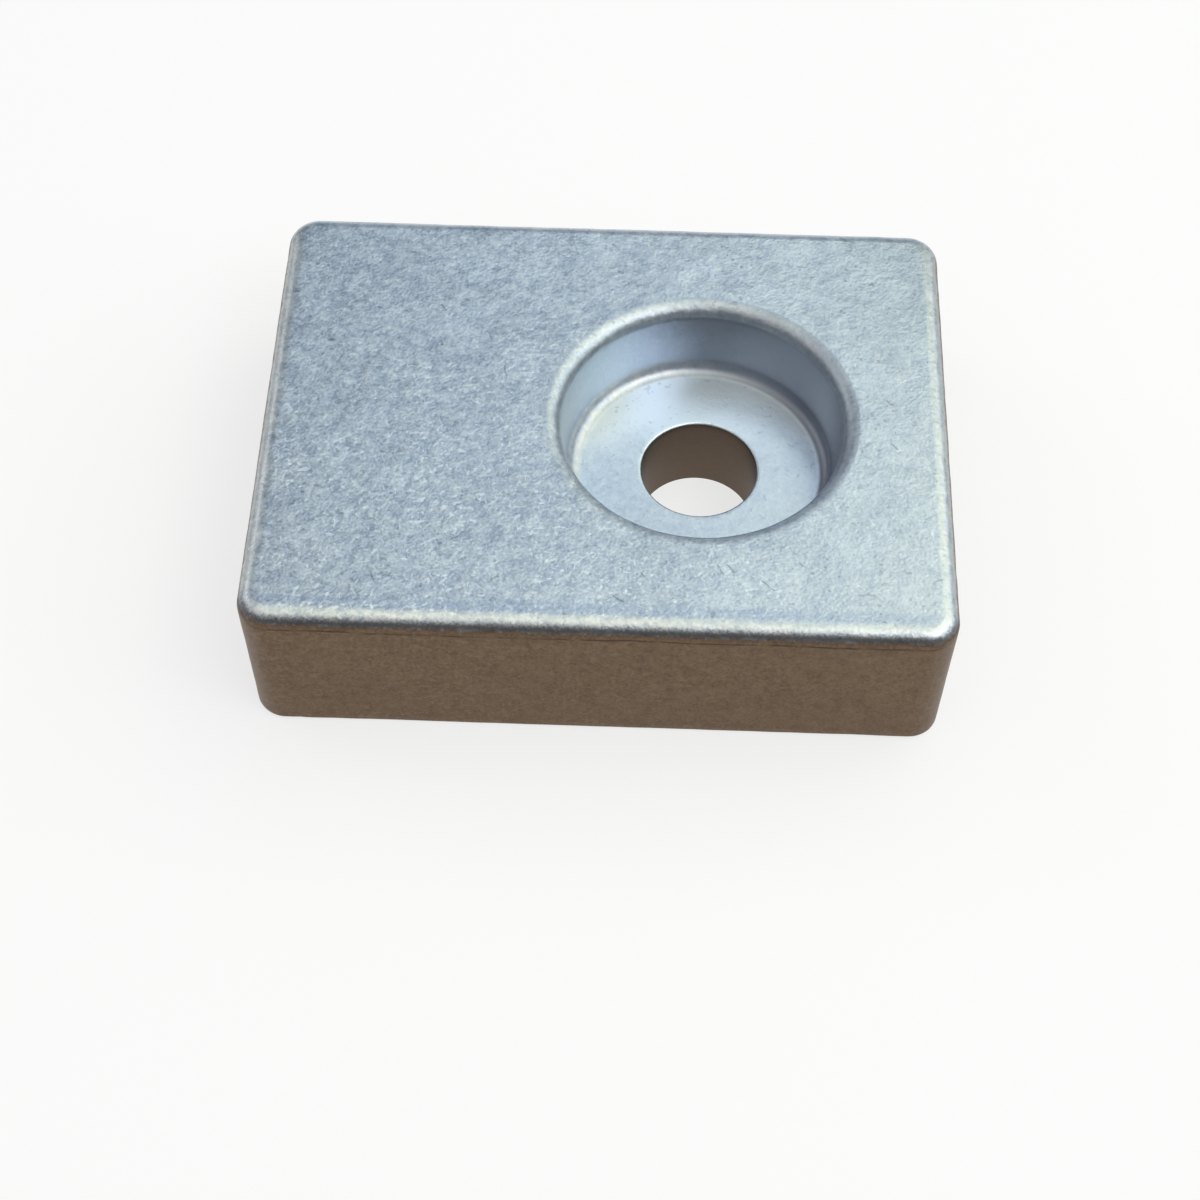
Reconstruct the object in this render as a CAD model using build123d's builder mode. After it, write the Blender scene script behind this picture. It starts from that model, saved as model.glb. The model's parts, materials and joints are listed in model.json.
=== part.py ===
from build123d import *
from math import radians, tan
import os

# A sacrificial anode: a small block, cast in one piece, that corrodes in place of the metal it is bolted to.
# Sizes are in millimetres and angles in degrees. The flat back that seats on the hull or drive leg lies at
# Z = 0. The bolt hole runs up the Z axis into the recess for the bolt's head, and the block's length lies
# along X, with the hole nearer its +X end.

# Block
block_length = 48.0
block_width = 36.4
block_height = 12.5
side_draft = 0.75  # the sides draw in towards the back
corner_radius = 2.3
top_edge_radius = 1.2
back_edge_radius = 0.25

# Bolt hole
hole_diameter = 8.3
hole_offset = 6.75  # from the middle of the block to the hole, along the length
hole_edge_radius = 0.15

# Recess for the bolt's head
recess_floor_diameter = 18.7
recess_depth = 6.0
recess_draft = 6.0  # the wall opens towards the mouth
recess_rim_radius = 1.1
recess_floor_radius = 0.9

# Dependent sizes
seat_height = block_height - recess_depth
recess_mouth_diameter = recess_floor_diameter + 2 * recess_depth * tan(radians(recess_draft))

os.makedirs("parts", exist_ok=True)

with BuildPart() as anode_block:
    # Body of the block, widest at its face
    with BuildSketch(Plane.XY.offset(block_height)):
        with Locations((-hole_offset, 0)):
            RectangleRounded(block_length, block_width, corner_radius)
    extrude(amount=-block_height, taper=side_draft)
    fillet(anode_block.faces().sort_by(Axis.Z)[-1].edges(), radius=top_edge_radius)
    fillet(anode_block.faces().sort_by(Axis.Z)[0].edges(), radius=back_edge_radius)

    # Recess, with a rounded rim and a rounded corner at its floor
    with Locations((0, 0, seat_height)):
        Cone(
            bottom_radius=recess_floor_diameter / 2,
            top_radius=recess_mouth_diameter / 2,
            height=recess_depth,
            align=(Align.CENTER, Align.CENTER, Align.MIN),
            mode=Mode.SUBTRACT,
        )
    floor_edge, rim_edge = anode_block.edges(Select.LAST).filter_by(GeomType.CIRCLE).sort_by(Axis.Z)
    fillet(rim_edge, radius=recess_rim_radius)
    fillet(floor_edge, radius=recess_floor_radius)

    # Bolt hole, from the recess floor to the back
    with Locations((0, 0, seat_height)):
        Hole(radius=hole_diameter / 2)
    hole_edges = anode_block.edges(Select.LAST).filter_by(GeomType.CIRCLE).sort_by(Axis.Z)
    fillet(hole_edges[-1], radius=hole_edge_radius)

anode_block.part.label = "anode_block"
export_step(anode_block.part, "parts/anode_block.step")
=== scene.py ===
"""Looks of a sacrificial anode: one cast metal block with a recessed bolt hole, on a pale studio floor."""

import json
import logging
import math
import random
from dataclasses import dataclass, field, fields
from enum import Enum
from typing import Any

import bmesh
import bpy
from mathutils import Matrix, Vector, kdtree, noise


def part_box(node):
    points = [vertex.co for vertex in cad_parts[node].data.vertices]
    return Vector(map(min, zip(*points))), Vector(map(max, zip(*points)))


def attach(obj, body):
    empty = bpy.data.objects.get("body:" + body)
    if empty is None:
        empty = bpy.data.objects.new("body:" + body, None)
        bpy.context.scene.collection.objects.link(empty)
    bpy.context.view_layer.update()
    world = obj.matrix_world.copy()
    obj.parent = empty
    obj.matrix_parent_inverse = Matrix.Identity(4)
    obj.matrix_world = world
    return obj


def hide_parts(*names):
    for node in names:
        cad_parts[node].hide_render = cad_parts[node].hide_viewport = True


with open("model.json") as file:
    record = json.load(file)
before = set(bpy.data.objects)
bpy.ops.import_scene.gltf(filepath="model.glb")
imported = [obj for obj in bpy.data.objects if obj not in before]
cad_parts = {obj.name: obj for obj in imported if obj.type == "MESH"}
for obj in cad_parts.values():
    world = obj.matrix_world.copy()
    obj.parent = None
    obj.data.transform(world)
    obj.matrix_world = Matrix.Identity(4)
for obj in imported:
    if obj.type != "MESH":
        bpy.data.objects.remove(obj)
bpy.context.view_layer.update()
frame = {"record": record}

log = logging.getLogger("anode")

MM = 0.001

Span = tuple[float, float]

CLOUD_MEAN = 0.5


class Zone(Enum):
    """Parts of the casting's skin, named as a founder would."""

    BORE = "bore"
    SEAT = "seat"
    CORNER = "corner"
    RECESS = "recess"
    RIM = "rim"
    FACE = "face"
    EDGE = "edge"
    SKIRT = "skirt"
    SIDE = "side"
    BACK = "back"


@dataclass(frozen=True)
class Skin:
    """How a zone of the casting came out of the mould and the tumbler, and how much painted light, painted
    shade and painted brown reflection it gets.

    Attributes:
        tumbled: How beaten the metal is by tumbling, from 0 to 1.
        oxide: How much painted brown reflection it gets, from 0 to 1.
        wear: How far its high spots are rubbed bright, partly real wear and partly painted highlight, from 0
            to 1; on the recess's corner it also places painted dark shade.
        dull: How much painted shade its hollows get, from 0 to 1.
        clean: How much painted light its metal gets, from 0 to 1.
        roughness: The roughness of its metal.
        sag: How deep, in metres, its surface may wander below its true form.
    """

    tumbled: float
    oxide: float
    wear: float
    dull: float
    clean: float
    roughness: float
    sag: float


# Besides its real finish, each zone carries masks for painted light, painted shade and the painted brown
# reflection.
SKINS = {
    Zone.BORE: Skin(tumbled=0.1, oxide=1.0, wear=0.0, dull=1.0, clean=0.0, roughness=0.5, sag=0.0),
    Zone.SEAT: Skin(tumbled=0.4, oxide=0.0, wear=0.0, dull=0.0, clean=1.0, roughness=0.4, sag=0.01 * MM),
    Zone.CORNER: Skin(tumbled=0.2, oxide=0.0, wear=1.0, dull=1.0, clean=0.0, roughness=0.46, sag=0.015 * MM),
    Zone.RECESS: Skin(tumbled=0.2, oxide=0.0, wear=0.0, dull=1.0, clean=0.0, roughness=0.36, sag=0.015 * MM),
    Zone.RIM: Skin(tumbled=0.8, oxide=0.0, wear=0.5, dull=0.35, clean=0.0, roughness=0.5, sag=0.04 * MM),
    Zone.FACE: Skin(tumbled=1.0, oxide=0.0, wear=0.0, dull=0.0, clean=0.0, roughness=0.43, sag=0.03 * MM),
    Zone.EDGE: Skin(tumbled=0.7, oxide=1.0, wear=1.0, dull=0.0, clean=0.0, roughness=0.43, sag=0.06 * MM),
    Zone.SKIRT: Skin(tumbled=0.7, oxide=1.0, wear=0.0, dull=0.0, clean=0.0, roughness=0.43, sag=0.06 * MM),
    Zone.SIDE: Skin(tumbled=0.4, oxide=1.0, wear=0.0, dull=0.0, clean=0.0, roughness=0.43, sag=0.04 * MM),
    Zone.BACK: Skin(tumbled=0.8, oxide=0.0, wear=0.0, dull=0.2, clean=0.0, roughness=0.43, sag=0.0),
}


@dataclass(frozen=True)
class Station:
    """One closed ring of the casting's skin.

    Attributes:
        zone: The zone that the ring belongs to.
        height: Height above the back.
        radius: Radius about the bolt hole, where the ring is round.
        inset: Distance inside the block's outline, where the ring follows it.
        spread: 0 for a round ring, 1 for a ring along the outline, between them for a blend.
    """

    zone: Zone
    height: float
    radius: float
    inset: float
    spread: float


def steps(start: float, end: float, count: int) -> list[float]:
    """Even steps from start to end, without start itself.

    Args:
        start: Value before the first step.
        end: Value of the last step.
        count: How many steps.

    Returns:
        The values.
    """
    return [start + (end - start) * (k + 1) / count for k in range(count)]


@dataclass
class AnodeCasting:
    """The anode block, built as rings that run round its section from the bore out to the back.

    Attributes:
        mounts: The frame's mounts, by name.
        low: Low corner of the block's box.
        high: High corner of the block's box.
        brown_line: Angle on the top edge at which the painted brown reflection begins.
        arris: Width of the narrow rings that keep the back's edge at the bore crisp.
        sharp_from: Angle between faces from which an edge stays sharp.
        points_around: Points on each ring.
        corner_density: How much closer together they are on the corners.
        back_reach: Share of the back that its even rings cover, before the narrow ring at the bore.
        merge_distance: Distance under which points are one.
        broad_wave: Size of the broad sags.
        close_wave: Size of the small sags.
        close_shift: Shift between the two patterns.
        mean_sag: Mean depth of the sags, as a share of the deepest.
        broad_sag: How far the broad sags change it.
        close_sag: How far the small sags change it.
        dents: How many dents there are.
        dent_reach: Smallest and largest radius of a dent, in millimetres.
        dent_depth: Smallest and largest depth of a dent, in millimetres.
        seed: Start of the random draws.
    """

    mounts: dict[str, dict[str, Any]]
    low: Vector
    high: Vector
    side_draft: float = math.radians(0.75)
    corner_radius: float = 2.3 * MM
    top_edge_radius: float = 1.2 * MM
    brown_line: float = math.radians(36.0)
    back_edge_radius: float = 0.25 * MM
    hole_edge_radius: float = 0.15 * MM
    recess_floor_radius: float = 9.35 * MM
    recess_draft: float = math.radians(6.0)
    recess_rim_radius: float = 1.1 * MM
    recess_corner_radius: float = 0.9 * MM
    arris: float = 0.02 * MM
    sharp_from: float = math.radians(40.0)
    points_around: int = 384
    corner_density: float = 2.2
    bore_rings: int = 12
    hole_edge_rings: int = 5
    seat_rings: int = 22
    corner_rings: int = 6
    wall_rings: int = 16
    rim_rings: int = 10
    face_rings: int = 60
    edge_rings: int = 8
    skirt_rings: int = 6
    side_rings: int = 22
    back_edge_rings: int = 4
    back_rings: int = 26
    back_reach: float = 0.99
    merge_distance: float = 0.0001 * MM
    broad_wave: float = 6.0 * MM
    close_wave: float = 1.7 * MM
    close_shift: tuple[float, float, float] = (7.0, 3.0, 5.0)
    mean_sag: float = 0.5
    broad_sag: float = 0.35
    close_sag: float = 0.45
    dents: int = 70
    dent_reach: Span = (0.35, 0.9)
    dent_depth: Span = (0.005, 0.025)
    seed: int = 11
    height: float = field(init=False)
    hole_radius: float = field(init=False)
    seat_height: float = field(init=False)
    half_length: float = field(init=False)
    half_width: float = field(init=False)
    centre_x: float = field(init=False)
    edge_inset: float = field(init=False)

    def __post_init__(self) -> None:
        """Works out the dependent sizes from the frame and the driving ones."""
        self.height = self.high.z
        self.hole_radius = self.mounts["bolt_hole"]["dims"]["r_mm"] * MM
        self.seat_height = self.mounts["bolt_seat"]["pos_m"][2]
        self.edge_inset = self._side_inset(self.height - self.top_edge_radius, self.top_edge_radius)
        overhang = self.edge_inset - self.top_edge_radius
        self.half_length = (self.high.x - self.low.x) / 2 + overhang
        self.half_width = (self.high.y - self.low.y) / 2 + overhang
        self.centre_x = (self.high.x + self.low.x) / 2

    def _side_inset(self, height: float, radius: float) -> float:
        """Inset of the centre of a fillet that touches the drafted side.

        Args:
            height: Height of the fillet's centre.
            radius: The fillet's radius.

        Returns:
            The inset from the outline at the face.
        """
        return (self.height - height) * math.tan(self.side_draft) + radius / math.cos(self.side_draft)

    def _wall_radius(self, height: float) -> float:
        """Radius of the recess's tapered wall at a height.

        Args:
            height: Height above the back.

        Returns:
            The wall's radius there.
        """
        return self.recess_floor_radius + (height - self.seat_height) * math.tan(self.recess_draft)

    def _outline(self) -> list[tuple[Vector, Vector]]:
        """Points round the block's outline, closer together on the corners.

        Returns:
            For each point, the place it keeps at every inset and the outward direction it moves along.
        """
        reach = Vector((self.half_length - self.corner_radius, self.half_width - self.corner_radius))
        arc = self.corner_radius * math.pi / 2 * self.corner_density
        spans: list[tuple[float, int, bool]] = []
        for quarter in range(4):
            spans.append((2 * (reach.y if quarter % 2 == 0 else reach.x), quarter, False))
            spans.append((arc, quarter, True))
        total = sum(length for length, _, _ in spans)
        points: list[tuple[Vector, Vector]] = []
        for index in range(self.points_around):
            place = total * index / self.points_around
            for length, quarter, is_corner in spans:
                if place < length:
                    break
                place -= length
            turn = Matrix.Rotation(quarter * math.pi / 2, 2)
            sideways, forward = (reach.x, reach.y) if quarter % 2 == 0 else (reach.y, reach.x)
            if is_corner:
                angle = place / length * math.pi / 2
                anchor = turn @ Vector((sideways, forward))
                outward = turn @ Vector((math.cos(angle), math.sin(angle)))
            else:
                anchor = turn @ Vector((sideways, place - forward))
                outward = turn @ Vector((1.0, 0.0))
            points.append((anchor + Vector((self.centre_x, 0.0)), outward))
        return points

    def _arc(self, zone: Zone, centre: tuple[float, float], radius: float, turn: tuple[float, float],
             count: int, on_outline: bool) -> list[Station]:
        """Stations along a fillet.

        Args:
            zone: The fillet's zone.
            centre: The arc centre's distance, from the hole or inside the outline, and its height.
            radius: The fillet's radius.
            turn: Start and end angle, from straight outward.
            count: How many stations.
            on_outline: Whether the distance is an inset from the outline.

        Returns:
            The stations, without the one at the start angle.
        """
        stations = []
        for angle in steps(turn[0], turn[1], count):
            across, height = radius * math.cos(angle), centre[1] + radius * math.sin(angle)
            if on_outline:
                stations.append(Station(zone, height, 0.0, centre[0] - across, 1.0))
            else:
                stations.append(Station(zone, height, centre[0] + across, 0.0, 0.0))
        return stations

    def stations(self) -> list[Station]:
        """The rings in order: up the bore, over the seat, up the recess, over the face and down to the back.

        Returns:
            The stations, the last of which lies on the first.
        """
        bore = self.hole_radius
        bore_top = self.seat_height - self.hole_edge_radius
        seat_edge = bore + self.hole_edge_radius
        corner_height = self.seat_height + self.recess_corner_radius
        slant = math.cos(self.recess_draft)
        corner_centre = self._wall_radius(corner_height) - self.recess_corner_radius / slant
        rim_height = self.height - self.recess_rim_radius
        rim_centre = self._wall_radius(rim_height) + self.recess_rim_radius / slant
        wall_low = corner_height - self.recess_corner_radius * math.sin(self.recess_draft)
        wall_high = rim_height + self.recess_rim_radius * math.sin(self.recess_draft)
        back_inset = self._side_inset(self.back_edge_radius, self.back_edge_radius)
        side_low = self.back_edge_radius
        side_high = self.height - self.top_edge_radius
        quarter = math.pi / 2

        rings = [Station(Zone.BORE, z, bore, 0.0, 0.0)
                 for z in (0.0, self.arris, *steps(self.arris, bore_top, self.bore_rings))]
        rings += self._arc(Zone.SEAT, (seat_edge, bore_top), self.hole_edge_radius,
                           (2 * quarter, quarter), self.hole_edge_rings, False)
        rings += [Station(Zone.SEAT, self.seat_height, r, 0.0, 0.0)
                  for r in steps(seat_edge, corner_centre, self.seat_rings)]
        rings += self._arc(Zone.CORNER, (corner_centre, corner_height), self.recess_corner_radius,
                           (-quarter, -self.recess_draft), self.corner_rings, False)
        rings += [Station(Zone.RECESS, z, self._wall_radius(z), 0.0, 0.0)
                  for z in steps(wall_low, wall_high, self.wall_rings)]
        rings += self._arc(Zone.RIM, (rim_centre, rim_height), self.recess_rim_radius,
                           (2 * quarter - self.recess_draft, quarter), self.rim_rings, False)
        rings += [Station(Zone.FACE, self.height, rim_centre, self.edge_inset, spread)
                  for spread in steps(0.0, 1.0, self.face_rings)]
        rings += self._arc(Zone.EDGE, (self.edge_inset, side_high), self.top_edge_radius,
                           (quarter, self.brown_line), self.edge_rings, True)
        rings += self._arc(Zone.SKIRT, (self.edge_inset, side_high), self.top_edge_radius,
                           (self.brown_line, -self.side_draft), self.skirt_rings, True)
        rings += [Station(Zone.SIDE, z, 0.0, (self.height - z) * math.tan(self.side_draft), 1.0)
                  for z in steps(side_high, side_low, self.side_rings)]
        rings += self._arc(Zone.SIDE, (back_inset, self.back_edge_radius), self.back_edge_radius,
                           (-self.side_draft, -quarter), self.back_edge_rings, True)
        rings += [Station(Zone.BACK, 0.0, bore, back_inset, 1.0 - spread)
                  for spread in steps(0.0, self.back_reach, self.back_rings)]
        rings += [Station(Zone.BACK, 0.0, bore + self.arris, 0.0, 0.0),
                  Station(Zone.BORE, 0.0, bore, 0.0, 0.0)]
        return rings

    def build(self) -> bpy.types.Object:
        """Makes the casting's mesh, with its skin values and its tumbled unevenness.

        Returns:
            The new object.
        """
        outline = self._outline()
        bm = bmesh.new()
        around = bm.verts.layers.int.new("around")
        skins = {trait.name: bm.verts.layers.float.new(trait.name) for trait in fields(Skin)}
        first = bmesh.ops.create_circle(bm, cap_ends=False, segments=self.points_around,
                                        radius=self.hole_radius)
        ring = list(first["verts"])
        for index, vertex in enumerate(ring):
            vertex[around] = index
        edges = list(bm.edges)
        for number, station in enumerate(self.stations()):
            if number:
                grown = bmesh.ops.extrude_edge_only(bm, edges=edges)["geom"]
                ring = [part for part in grown if isinstance(part, bmesh.types.BMVert)]
                edges = [part for part in grown if isinstance(part, bmesh.types.BMEdge)]
            skin = SKINS[station.zone]
            for vertex in ring:
                anchor, outward = outline[vertex[around]]
                edge_point = anchor + outward * (self.corner_radius - station.inset)
                spoke = (anchor + outward * self.corner_radius).normalized() * station.radius
                flat = spoke.lerp(edge_point, station.spread)
                vertex.co = (flat.x, flat.y, station.height)
                for name, layer in skins.items():
                    vertex[layer] = getattr(skin, name)
        bmesh.ops.remove_doubles(bm, verts=bm.verts, dist=self.merge_distance)
        bmesh.ops.recalc_face_normals(bm, faces=bm.faces)
        for edge in bm.edges:
            edge.smooth = edge.calc_face_angle() < self.sharp_from
        self._tumble(bm, skins["sag"])
        for face in bm.faces:
            face.smooth = True
        mesh = bpy.data.meshes.new("anode_casting")
        bm.to_mesh(mesh)
        bm.free()
        piece = bpy.data.objects.new("anode_casting", mesh)
        bpy.context.scene.collection.objects.link(piece)
        return piece

    def _tumble(self, bm: bmesh.types.BMesh, sag: bmesh.types.BMLayerItem) -> None:
        """Sinks the skin unevenly, as casting and tumbling leave it, and knocks small dents into it.

        Args:
            bm: The casting.
            sag: Layer with the depth that each point may sink.
        """
        bm.normal_update()
        depths = []
        for vertex in bm.verts:
            broad = noise.noise(vertex.co / self.broad_wave)
            close = noise.noise(vertex.co / self.close_wave + Vector(self.close_shift))
            depths.append(vertex[sag] * (self.mean_sag + self.broad_sag * broad + self.close_sag * close))
        tree = kdtree.KDTree(len(bm.verts))
        for index, vertex in enumerate(bm.verts):
            tree.insert(vertex.co, index)
        tree.balance()
        bm.verts.ensure_lookup_table()
        chance = random.Random(self.seed)
        struck = [v.index for v in bm.verts if v[sag] >= SKINS[Zone.FACE].sag]
        for _ in range(self.dents):
            centre = bm.verts[chance.choice(struck)]
            reach = chance.uniform(*self.dent_reach) * MM
            deep = chance.uniform(*self.dent_depth) * MM
            for _, index, distance in tree.find_range(centre.co, reach):
                fall = 1.0 - (distance / reach) ** 2
                depths[index] += deep * fall * fall
        for vertex, depth in zip(bm.verts, depths):
            if vertex[sag] > 0.0:
                vertex.co -= vertex.normal * max(depth, 0.0)


class Signal:
    """A number that varies over a surface, for use in Python expressions."""

    def __init__(self, sheet: "Sheet", socket: bpy.types.NodeSocket) -> None:
        """Keeps the socket and the node sheet it is on."""
        self.sheet = sheet
        self.socket = socket

    def _join(self, operation: str, first: Any, second: Any) -> "Signal":
        """Adds a Math node for two values."""
        node = self.sheet.node("ShaderNodeMath", {"operation": operation}, {0: first, 1: second})
        return Signal(self.sheet, node.outputs[0])

    def __add__(self, other: Any) -> "Signal":
        """self + other."""
        return self._join("ADD", self, other)

    def __radd__(self, other: Any) -> "Signal":
        """other + self."""
        return self if other == 0 else self._join("ADD", other, self)

    def __sub__(self, other: Any) -> "Signal":
        """self - other."""
        return self._join("SUBTRACT", self, other)

    def __rsub__(self, other: Any) -> "Signal":
        """other - self."""
        return self._join("SUBTRACT", other, self)

    def __mul__(self, other: Any) -> "Signal":
        """self * other."""
        return self._join("MULTIPLY", self, other)

    def __rmul__(self, other: Any) -> "Signal":
        """other * self."""
        return self._join("MULTIPLY", other, self)

    def __abs__(self) -> "Signal":
        """The size of the signal, without its sign."""
        return self._join("ABSOLUTE", self, 0.0)

    def above(self, other: Any) -> "Signal":
        """1 where the signal is over another, and 0 elsewhere."""
        return self._join("GREATER_THAN", self, other)

    def at_least(self, least: float) -> "Signal":
        """The signal from 0 to 1, squeezed in between least and 1."""
        return least + self * (1.0 - least)

    def rise(self, start: float, end: float) -> "Signal":
        """Smooth step over the signal.

        Args:
            start: Where the step leaves 0.
            end: Where it reaches 1, which may be the lower of the two.

        Returns:
            The step.
        """
        low, high, first, last = (start, end, 0.0, 1.0) if start < end else (end, start, 1.0, 0.0)
        node = self.sheet.node("ShaderNodeMapRange", {"interpolation_type": "SMOOTHSTEP"},
                               {"Value": self, "From Min": low, "From Max": high,
                                "To Min": first, "To Max": last})
        return Signal(self.sheet, node.outputs["Result"])


class Sheet:
    """The node sheet of one material.

    Attributes:
        MIX_INPUTS: Numbers of a colour Mix node's inputs: its factor, first colour and second colour.
        MIX_RESULT: Number of its colour output.
    """

    MIX_INPUTS = (0, 6, 7)
    MIX_RESULT = 2

    def __init__(self, name: str) -> None:
        """Starts an empty material.

        Args:
            name: The material's name.
        """
        self.material = bpy.data.materials.new(name)
        self.material.use_nodes = True
        self.tree = self.material.node_tree
        self.tree.nodes.clear()

    def node(self, kind: str, settings: dict[str, Any] | None = None,
             inputs: dict[str | int, Any] | None = None) -> bpy.types.Node:
        """Adds a node.

        Args:
            kind: The node's type.
            settings: Its properties.
            inputs: Values, sockets or signals for its inputs, by name or number.

        Returns:
            The node.
        """
        node = self.tree.nodes.new(kind)
        for name, value in (settings or {}).items():
            setattr(node, name, value)
        for name, value in (inputs or {}).items():
            source = value.socket if isinstance(value, Signal) else value
            if isinstance(source, bpy.types.NodeSocket):
                self.tree.links.new(source, node.inputs[name])
            else:
                node.inputs[name].default_value = source
        return node

    def signal(self, socket: bpy.types.NodeSocket) -> Signal:
        """Wraps a socket."""
        return Signal(self, socket)

    def vector(self, operation: str, *vectors: Any) -> bpy.types.NodeSocket:
        """Vector Math of one or two vectors, with a vector result."""
        node = self.node("ShaderNodeVectorMath", {"operation": operation}, dict(enumerate(vectors)))
        return node.outputs["Vector"]

    def scaled(self, vector: Any, factor: Any) -> bpy.types.NodeSocket:
        """A vector times a number."""
        return self.node("ShaderNodeVectorMath", {"operation": "SCALE"},
                         {0: vector, "Scale": factor}).outputs["Vector"]

    def measure(self, operation: str, *vectors: Any) -> Signal:
        """Vector Math of one or two vectors, with a number as its result."""
        node = self.node("ShaderNodeVectorMath", {"operation": operation}, dict(enumerate(vectors)))
        return self.signal(node.outputs["Value"])

    def split(self, vector: Any) -> tuple[Signal, ...]:
        """The three parts of a vector."""
        return tuple(self.signal(part) for part in
                     self.node("ShaderNodeSeparateXYZ", {}, {"Vector": vector}).outputs)

    def blend(self, factor: Any, first: Any, second: Any) -> bpy.types.NodeSocket:
        """Mixes two colours.

        Args:
            factor: 0 for the first colour and 1 for the second.
            first: The first colour or its socket.
            second: The second colour or its socket.

        Returns:
            The mixed colour's socket.
        """
        inputs = dict(zip(self.MIX_INPUTS, (factor, first, second)))
        return self.node("ShaderNodeMix", {"data_type": "RGBA"}, inputs).outputs[self.MIX_RESULT]

    def attribute(self, name: str) -> Signal:
        """A number stored on the mesh."""
        node = self.node("ShaderNodeAttribute", {"attribute_name": name, "attribute_type": "GEOMETRY"})
        return self.signal(node.outputs["Fac"])


@dataclass(frozen=True)
class Cloud:
    """Soft noise about 0.5.

    Attributes:
        size: Size of its largest blots, in millimetres.
        detail: How many finer layers it has.
        roughness: How strong the finer layers are.
    """

    size: float
    detail: float
    roughness: float = 0.55

    def draw(self, sheet: Sheet, place: Any) -> Signal:
        """Adds the noise, at coordinates in millimetres."""
        node = sheet.node("ShaderNodeTexNoise", {"noise_dimensions": "3D"},
                          {"Vector": place, "Scale": 1.0 / self.size, "Detail": self.detail,
                           "Roughness": self.roughness})
        return sheet.signal(node.outputs["Fac"])


@dataclass(frozen=True)
class Marks:
    """Short straight marks scattered at random over a surface.

    Attributes:
        spacing: Mean distance between places for a mark, in millimetres.
        length: Half the length of a mark, in millimetres.
        width: Half the width of a mark, in millimetres.
        share: Share of the places that have one.
        shift: Shift of the pattern, in millimetres.
        full_width: Share of the width that is at full strength.
        full_length: Share of the length that is at full strength.
    """

    spacing: float
    length: float
    width: float
    share: float
    shift: tuple[float, float, float]
    full_width: float = 0.4
    full_length: float = 0.5

    def draw(self, sheet: Sheet, place: Any, normal: Any) -> Signal:
        """Adds the nodes that draw the marks.

        Args:
            sheet: The material's node sheet.
            place: Coordinates, in millimetres.
            normal: The surface's normal.

        Returns:
            1 on a mark and 0 elsewhere.
        """
        shifted = sheet.vector("ADD", place, self.shift)
        centre = sheet.node("ShaderNodeTexVoronoi", {"feature": "F1"},
                            {"Vector": shifted, "Scale": 1.0 / self.spacing}).outputs["Position"]
        offset = self._flatten(sheet, sheet.vector("SUBTRACT", shifted, centre), normal)
        draw = sheet.node("ShaderNodeTexWhiteNoise", {"noise_dimensions": "3D"}, {"Vector": centre})
        heading = sheet.vector("SUBTRACT", draw.outputs["Color"], (CLOUD_MEAN,) * 3)
        heading = sheet.vector("NORMALIZE", self._flatten(sheet, heading, normal))
        along = sheet.measure("DOT_PRODUCT", offset, heading)
        across = sheet.measure("LENGTH", sheet.vector("SUBTRACT", offset, sheet.scaled(heading, along)))
        chosen = sheet.signal(draw.outputs["Value"]).above(1.0 - self.share)
        return (across.rise(self.width, self.width * self.full_width)
                * abs(along).rise(self.length, self.length * self.full_length) * chosen)

    @staticmethod
    def _flatten(sheet: Sheet, vector: Any, normal: Any) -> bpy.types.NodeSocket:
        """Takes out of a vector what points along the normal."""
        lift = sheet.measure("DOT_PRODUCT", vector, normal)
        return sheet.vector("SUBTRACT", vector, sheet.scaled(normal, lift))


@dataclass(frozen=True)
class Scratch:
    """One scratch on the face, straight from start to end, in millimetres from the bolt hole.

    Attributes:
        start: Where it starts.
        end: Where it ends.
        width: Half its width.
        full_width: Share of the width that is at full strength.
    """

    start: tuple[float, float]
    end: tuple[float, float]
    width: float = 0.09
    full_width: float = 0.35

    def draw(self, sheet: Sheet, place: Any, height: float) -> Signal:
        """Adds the nodes that draw the scratch.

        Args:
            sheet: The material's node sheet.
            place: Coordinates, in millimetres.
            height: Height of the face above the back, in millimetres.

        Returns:
            1 on the scratch and 0 elsewhere.
        """
        run = Vector((self.end[0] - self.start[0], self.end[1] - self.start[1], 0.0))
        heading = tuple(run.normalized())
        offset = sheet.vector("SUBTRACT", place, (*self.start, height))
        along = sheet.measure("DOT_PRODUCT", offset, heading)
        held = sheet.node("ShaderNodeClamp", {}, {"Value": along, "Min": 0.0, "Max": run.length})
        nearest = sheet.scaled(heading, held.outputs["Result"])
        return sheet.measure("DISTANCE", offset, nearest).rise(self.width, self.width * self.full_width)


DARK_SCRATCHES = (
    Scratch((-16.9, -11.3), (-15.9, -10.5), 0.11),
    Scratch((-14.0, 4.5), (-13.9, 2.8)),
    Scratch((-19.0, 9.7), (-18.6, 9.1), 0.08),
    Scratch((-15.2, -7.7), (-14.8, -8.1), 0.12),
    Scratch((-22.1, -13.9), (-21.5, -14.9)),
    Scratch((-15.4, 7.0), (-15.1, 6.5), 0.08),
    Scratch((-5.7, -15.4), (-5.1, -15.9), 0.13),
    Scratch((-4.0, -13.4), (-3.5, -14.0)),
    Scratch((1.2, -12.6), (1.6, -13.4), 0.08),
    Scratch((1.8, -12.6), (2.2, -13.2), 0.1),
    Scratch((4.1, -13.8), (4.9, -14.6)),
    Scratch((13.1, -1.9), (13.5, -2.4), 0.1),
    Scratch((12.9, 1.9), (13.4, 1.5), 0.12),
    Scratch((-23.4, 9.3), (-23.2, 9.1), 0.16),
    Scratch((-26.6, 6.0), (-26.4, 5.8), 0.15),
)

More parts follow.
